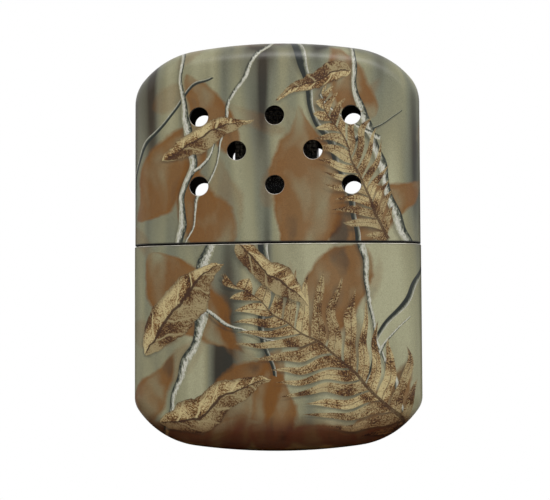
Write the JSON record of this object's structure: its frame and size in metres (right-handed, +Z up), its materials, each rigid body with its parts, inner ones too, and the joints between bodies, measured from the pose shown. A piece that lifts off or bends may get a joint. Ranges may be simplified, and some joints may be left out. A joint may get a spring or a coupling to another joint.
{
  "type": "catalytic hand warmer",
  "caption": "Flat pocket hand warmer: a rounded sheet-metal tank, a vented slide-off lid and a pull-off catalytic burner on the filler neck.",
  "frame": {"origin": "under the middle of the case, at the level of its lowest point when it stands upright", "axes": "+Z up through the lid, +X to the right seen from the front, the front faces -Y"},
  "size_m": [0.069, 0.016, 0.0978],
  "materials": {
    "printed_case": "matt film-printed camouflage lacquer on drawn steel",
    "plated_steel": "dull nickel plate",
    "bright_chrome": "bright chrome plate",
    "plain_steel": "pressed stainless steel",
    "wire_cloth": "drawn stainless wire",
    "catalyst_fibre": "matted glass fibre",
    "cotton": "cotton wool",
    "felt": "pressed felt"
  },
  "bodies": {
    "tank": {"tank_shell": "printed_case", "tank_cover": "plated_steel", "filler_neck": "plated_steel", "fuel_cotton": "cotton", "felt_pad": "felt"},
    "lid": {"lid_shell": "printed_case"},
    "burner": {"burner_base": "bright_chrome", "catalyst_grid": "plain_steel", "burner_bezel": "bright_chrome", "bezel_rivets": "plain_steel", "catalyst_pad": "catalyst_fibre", "wire_cage": "wire_cloth", "cage_end_left": "plain_steel", "cage_end_right": "plain_steel"}
  },
  "joints": [
    {"name": "lid_slide", "type": "slide", "parent": "tank", "child": "lid", "axis": [0, 0, 1], "range_m": [0, 0.06]},
    {"name": "burner_slide", "type": "slide", "parent": "tank", "child": "burner", "axis": [0, 0, 1], "range_m": [0, 0.011]}
  ]
}
